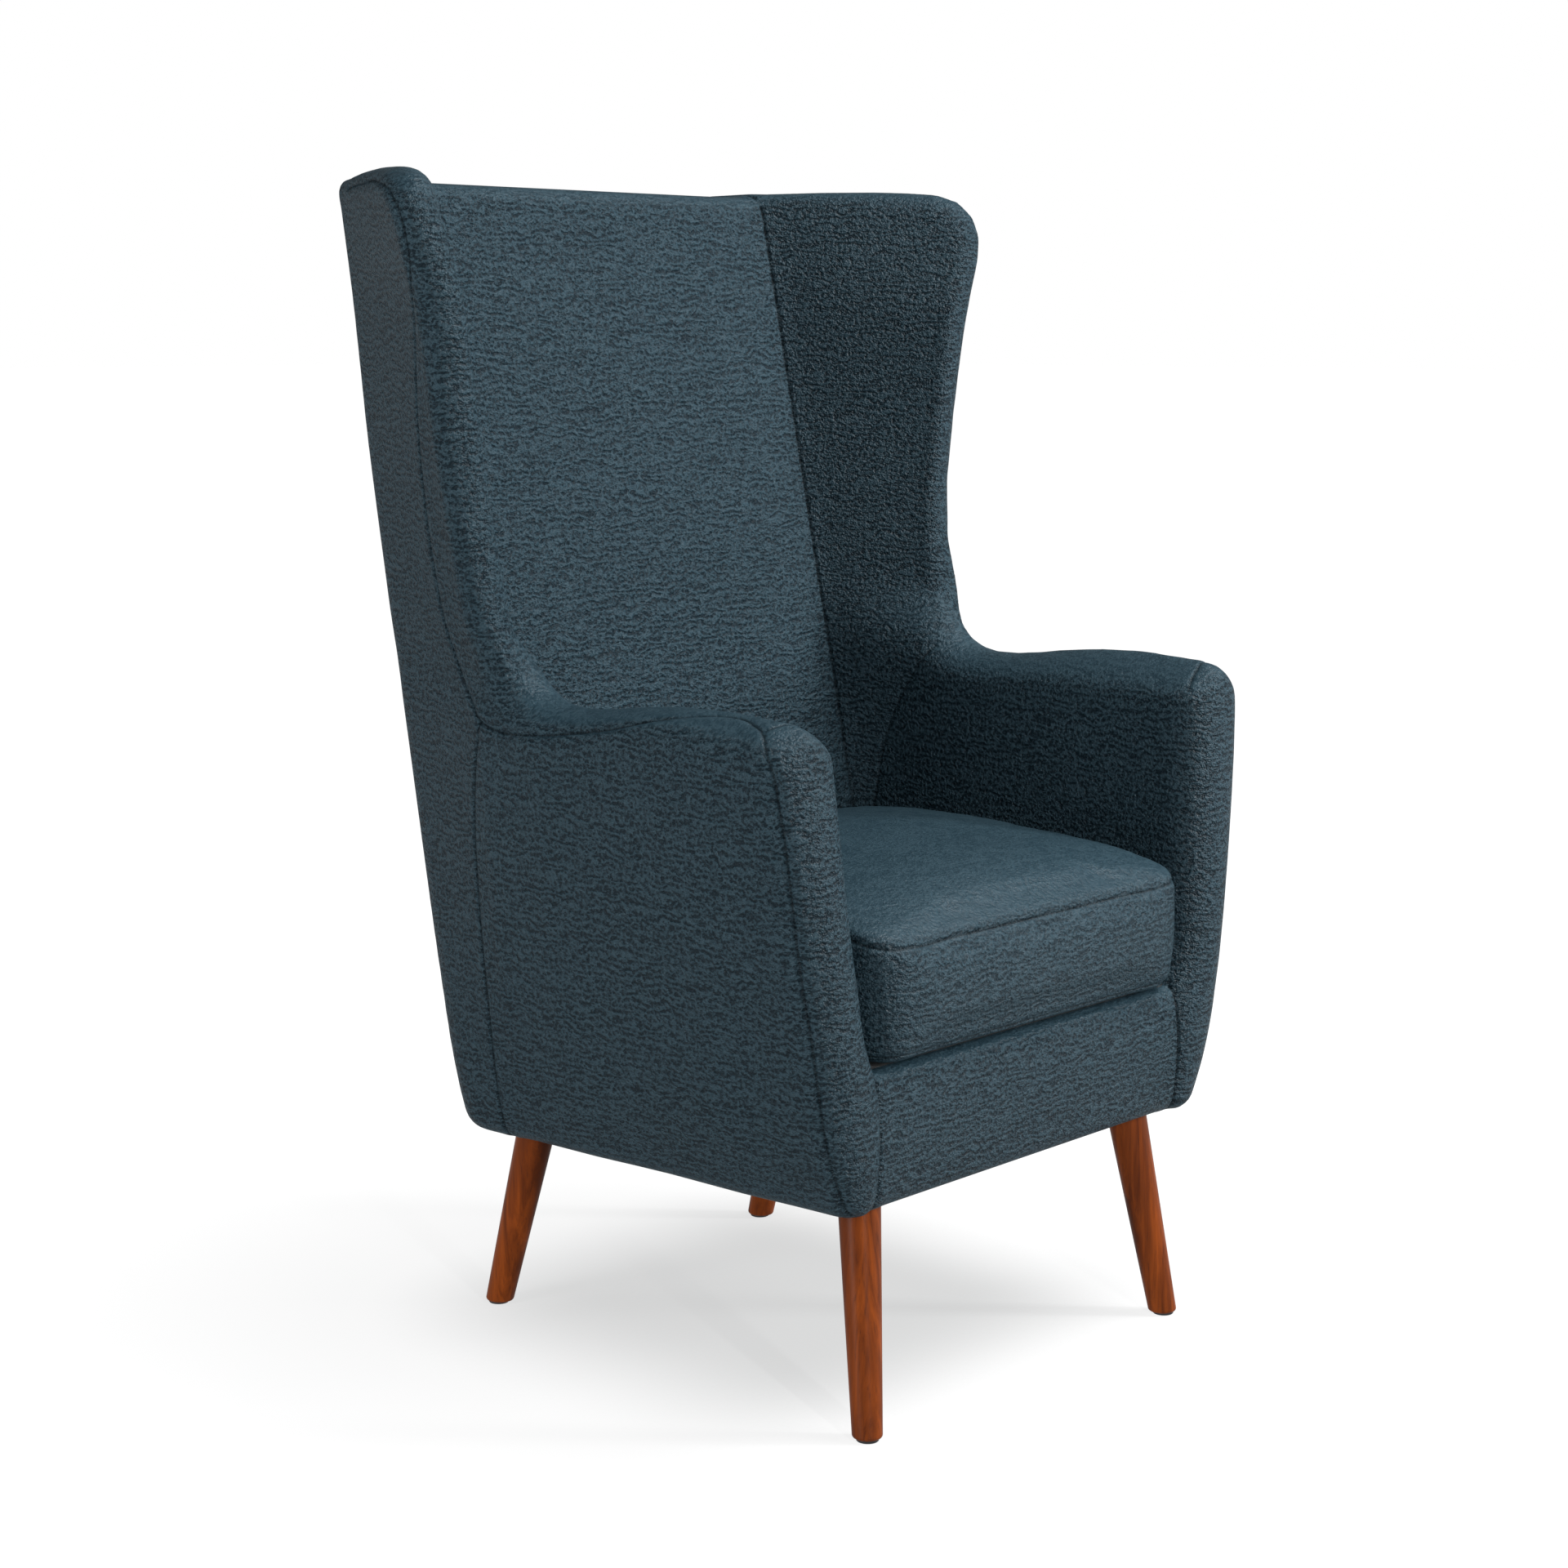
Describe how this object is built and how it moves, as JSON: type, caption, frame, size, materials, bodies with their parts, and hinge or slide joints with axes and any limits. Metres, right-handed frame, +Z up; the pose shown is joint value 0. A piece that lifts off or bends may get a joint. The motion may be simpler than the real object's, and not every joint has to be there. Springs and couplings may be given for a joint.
{
  "type": "wing-back armchair",
  "caption": "High wing-back armchair in textured upholstery, with curved arms, a loose zipped seat cushion and splayed tapered wooden legs.",
  "frame": {"origin": "on the floor, under the middle of the bounding box", "axes": "+Z up, the chair faces -Y, +X is the sitter's left"},
  "size_m": [0.7956, 0.6567, 1.1],
  "materials": {
    "upholstery": "pebbled, soft sheen",
    "padding": "foam",
    "leg_wood": "satin lacquer",
    "frame_wood": "raw",
    "steel": "zinc",
    "webbing": "woven elastic",
    "underside_cloth": "non-woven",
    "glide_plastic": "matte",
    "zip_textile": "woven tape"
  },
  "bodies": {
    "chair": {"back_lumbar_rail": "frame_wood", "back_padding": "padding", "back_tacking_rail": "frame_wood", "back_top_rail": "frame_wood", "back_webbing": "webbing", "corner_blocks": "frame_wood", "dust_cover": "underside_cloth", "floor_glides": "glide_plastic", "front_border_cover": "upholstery", "front_border_padding": "padding", "front_left_leg": "leg_wood", "front_right_leg": "leg_wood", "front_seat_rail": "frame_wood", "inside_back_cover": "upholstery", "left_arm_cover": "upholstery", "left_arm_front_post": "frame_wood", "left_arm_outside_cover": "upholstery", "left_arm_padding": "padding", "left_arm_rail": "frame_wood", "left_arm_rear_post": "frame_wood", "left_back_post": "frame_wood", "left_back_side_padding": "padding", "left_seat_rail": "frame_wood", "left_wing_cover": "upholstery", "left_wing_padding": "padding", "left_wing_panel": "frame_wood", "leg_bolts": "steel", "leg_plates": "steel", "outside_back_cover": "upholstery", "rear_left_leg": "leg_wood", "rear_right_leg": "leg_wood", "rear_seat_rail": "frame_wood", "right_arm_cover": "upholstery", "right_arm_front_post": "frame_wood", "right_arm_outside_cover": "upholstery", "right_arm_padding": "padding", "right_arm_rail": "frame_wood", "right_arm_rear_post": "frame_wood", "right_back_post": "frame_wood", "right_back_side_padding": "padding", "right_seat_rail": "frame_wood", "right_wing_cover": "upholstery", "right_wing_padding": "padding", "right_wing_panel": "frame_wood", "seat_deck_cover": "underside_cloth", "seat_deck_pad": "padding", "seat_springs": "steel", "spring_clips": "steel"},
    "seat_cushion": {"seat_cushion_core": "padding", "seat_cushion_cover": "upholstery", "zip_tape": "zip_textile", "zip_coil": "steel", "zip_stops": "steel"},
    "zip_slider": {"zip_slider": "steel"},
    "zip_tab": {"zip_tab": "steel"}
  },
  "joints": [
    {"name": "cushion_lift_out", "type": "slide", "parent": "chair", "child": "seat_cushion", "axis": [0, -0.9063, 0.4226], "range_m": [0, 0.6]},
    {"name": "zip_slide", "type": "slide", "parent": "seat_cushion", "child": "zip_slider", "axis": [-1, 0, 0], "range_m": [0, 0.354]},
    {"name": "zip_tab_swing", "type": "hinge", "parent": "zip_slider", "child": "zip_tab", "pos_m": [0.178, 0.08247, 0.38485], "axis": [1, 0, 0], "range_deg": [-12, 6]}
  ]
}
